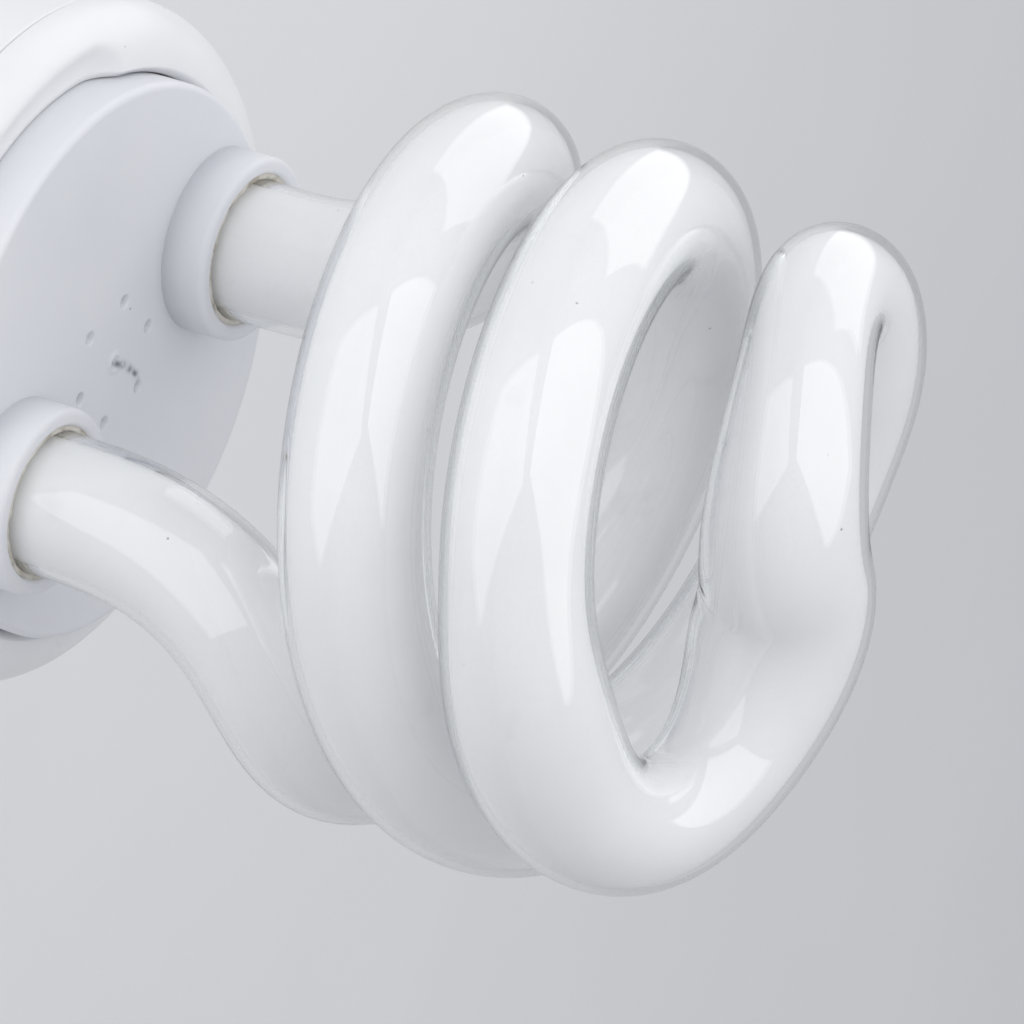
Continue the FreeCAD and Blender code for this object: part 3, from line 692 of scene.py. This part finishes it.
def cap_forms():
    """Rolled screw shell, glass insulator and soldered centre contact."""
    metal = varied(
        "cap_metal", ((0.76, 0.755, 0.74), (0.84, 0.835, 0.82)), grain=1.8, roughness=(0.24, 0.4),
        relief_grain=0.15, relief=0.004, stretch=(1.0, 1.0, 6.0), Metallic=1.0,
    )
    finished("screw_shell_form", meshed(thread_rows()), metal, "screw_shell")
    black = varied(
        "cap_glass", ((0.012, 0.012, 0.015), (0.03, 0.028, 0.03)), grain=3.0, roughness=(0.1, 0.22),
        relief_grain=1.2, relief=0.02,
    )
    hole = STUD_RADIUS + CLEARANCE
    cone = rounded([
        (hole, CONTACT_TOP, 0), (INSULATOR_TIP, CONTACT_TOP, INSULATOR_TIP_EDGE),
        (NOSE_RADIUS - CAP_WALL - CLEARANCE, CAP_EDGE, INSULATOR_NOSE_EDGE),
        (CAP_RADIUS - CAP_WALL - CLEARANCE, CAP_NOSE, 0), (hole, CAP_NOSE, 0),
    ])
    finished("cap_insulator_form", meshed(lathe(cone)), black, "cap_insulator")
    tinned = varied(
        "contact_metal", ((0.62, 0.60, 0.55), (0.74, 0.72, 0.68)), grain=1.1, roughness=(0.28, 0.48),
        relief_grain=0.5, relief=0.03, Metallic=1.0,
    )
    dome = rounded([
        (0.0, 0.0, 0), (SOLDER_RADIUS, 0.0, SOLDER_EDGE), (SOLDER_FOOT, SOLDER_RISE, SOLDER_FOOT_EDGE),
        (CONTACT_RADIUS, SOLDER_RISE, CONTACT_EDGE), (CONTACT_RADIUS, CONTACT_TOP, CONTACT_TOP_EDGE),
        (STUD_RADIUS, CONTACT_TOP, 0), (STUD_RADIUS, STUD_TOP, 0), (0.0, STUD_TOP, 0),
    ])
    finished("centre_contact_form", meshed(lathe(dome)), tinned, "centre_contact")


def inner_finishes():
    """Finishes of the parts inside the housing, which keep their own solids."""
    laminate = varied(
        "board_laminate", ((0.42, 0.30, 0.15), (0.52, 0.38, 0.2)), grain=3.0, roughness=(0.5, 0.65),
        relief_grain=0.3, relief=0.02,
    )
    ferrite = varied(
        "ferrite", ((0.05, 0.05, 0.055), (0.09, 0.09, 0.095)), grain=0.9, roughness=(0.5, 0.7),
        relief_grain=0.2, relief=0.03,
    )
    bobbin = varied(
        "bobbin_plastic", ((0.03, 0.03, 0.032), (0.05, 0.05, 0.052)), grain=2.0, roughness=(0.4, 0.55),
        relief_grain=0.3, relief=0.01,
    )
    winding = varied(
        "enamelled_wire", ((0.40, 0.13, 0.05), (0.58, 0.24, 0.09)), grain=0.3, roughness=(0.25, 0.4),
        relief_grain=0.25, relief=0.1, stretch=(0.2, 0.2, 2.0), Metallic=0.8,
    )
    sleeve = varied(
        "capacitor_sleeve", ((0.02, 0.03, 0.07), (0.04, 0.05, 0.1)), grain=5.0, roughness=(0.25, 0.35),
        relief_grain=1.0, relief=0.02,
    )
    dipped = varied(
        "dipped_film", ((0.34, 0.06, 0.03), (0.42, 0.09, 0.05)), grain=3.0, roughness=(0.2, 0.32),
        relief_grain=1.0, relief=0.05,
    )
    black = varied(
        "moulded_black", ((0.015, 0.015, 0.016), (0.03, 0.03, 0.03)), grain=0.6, roughness=(0.55, 0.7),
        relief_grain=0.15, relief=0.02,
    )
    lacquer = varied(
        "resistor_lacquer", ((0.16, 0.25, 0.2), (0.22, 0.31, 0.26)), grain=1.5, roughness=(0.35, 0.5),
        relief_grain=0.4, relief=0.03,
    )
    wire = varied(
        "tinned_wire", ((0.62, 0.62, 0.61), (0.75, 0.75, 0.74)), grain=1.0, roughness=(0.25, 0.4),
        relief_grain=0.3, relief=0.01, Metallic=1.0,
    )
    finishes = {
        "circuit_board": laminate,
        "choke_core": ferrite,
        "choke_bobbin": bobbin,
        "choke_base": bobbin,
        "choke_winding": winding,
        "drive_toroid": ferrite,
        "reservoir_capacitor": sleeve,
        "film_capacitors": dipped,
        "transistors": black,
        "rectifier_diodes": black,
        "fuse_resistor": lacquer,
        "lead_wires": wire,
        "supply_wires": wire,
    }
    for node, material in finishes.items():
        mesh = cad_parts[node].data
        mesh.materials.clear()
        mesh.materials.append(material)


# The photograph's camera: place, sensor and clipping in millimetres, and the directions of its picture
CAMERA_PLACE = (384.0, -489.2, 420.0)
PICTURE_RIGHT = Vector((-0.4980, 0.1469, 0.8547)).normalized()
PICTURE_UP = Vector((-0.6692, -0.6919, -0.2710)).normalized()
FOCAL_PIXELS = 8658.6
PICTURE_PIXELS = 1024
SENSOR = 36.0
CLIP_START = 10.0
CLIP_END = 50000.0

# Studio in millimetres: each panel's corner and two edges, with radiances against a white of 1
LIGHT_AIM = Vector((15.0, -25.0, 125.0))
SKY_COLOUR = (0.945, 0.96, 1.0, 1.0)
SKY_RADIANCE = 0.58
PANELS = [
    ("over_panel", (168.0, -385.0, 358.0), (-114.0, 440.0, 199.0), (-240.0, 19.0, -179.0), 1.1),
    ("front_panel", (127.6, -226.3, 222.3), (82.5, 166.9, -179.5), (-139.8, -46.2, -108.6), 0.9),
    ("back_panel", (-300.0, -245.0, 2.0), (0.0, 295.0, 0.0), (0.0, 0.0, 328.0), 0.8),
]
FLOOR_REACH = 12000.0


def placed(item, place, sideways, upward):
    """Put a camera or lamp at a place in millimetres, turned to two of its directions."""
    turn = Matrix((sideways, upward, sideways.cross(upward))).transposed()
    item.matrix_world = Matrix.Translation(Vector(place) * MM) @ turn.to_4x4()
    scene.collection.objects.link(item)


def camera():
    """The camera at the photograph's place."""
    data = bpy.data.cameras.new("camera")
    data.sensor_width = SENSOR
    data.lens = SENSOR * FOCAL_PIXELS / PICTURE_PIXELS
    data.clip_start = CLIP_START * MM
    data.clip_end = CLIP_END * MM
    item = bpy.data.objects.new("camera", data)
    placed(item, CAMERA_PLACE, PICTURE_RIGHT, PICTURE_UP)
    scene.camera = item


def panel(name, corner, first_edge, second_edge, radiance):
    """A soft panel that shines towards the spiral."""
    first_edge = Vector(first_edge)
    second_edge = Vector(second_edge)
    data = bpy.data.lights.new(name, "AREA")
    data.shape = "RECTANGLE"
    data.size = first_edge.length * MM
    data.size_y = second_edge.length * MM
    data.energy = radiance * math.pi * data.size * data.size_y
    item = bpy.data.objects.new(name, data)
    middle = Vector(corner) + (first_edge + second_edge) / 2
    backward = first_edge.cross(second_edge).normalized()
    if backward.dot(middle - LIGHT_AIM) < 0:
        backward.negate()
    upward = second_edge.normalized()
    placed(item, middle, upward.cross(backward), upward)
    item.visible_camera = False


def studio():
    """Pale floor, dim surroundings and soft panels."""
    paper = varied(
        "floor_paper", ((0.865, 0.868, 0.872), (0.885, 0.887, 0.89)), grain=60.0, roughness=(0.8, 0.9),
        relief_grain=0.6, relief=0.02,
    )
    mesh = bpy.data.meshes.new("floor")
    reach = FLOOR_REACH * MM
    corners = [(x * reach, y * reach, 0.0) for x, y in ((-1, -1), (1, -1), (1, 1), (-1, 1))]
    mesh.from_pydata(corners, [], [(0, 1, 2, 3)])
    mesh.materials.append(paper)
    floor = bpy.data.objects.new("floor", mesh)
    scene.collection.objects.link(floor)
    world = bpy.data.worlds.new("surroundings")
    world.use_nodes = True
    background = world.node_tree.nodes["Background"]
    background.inputs["Color"].default_value = SKY_COLOUR
    background.inputs["Strength"].default_value = SKY_RADIANCE
    scene.world = world
    for item in PANELS:
        panel(*item)
    scene.view_settings.view_transform = "Standard"


tube_forms()
housing_forms()
plate_form()
cement_form()
cap_forms()
inner_finishes()
camera()
studio()
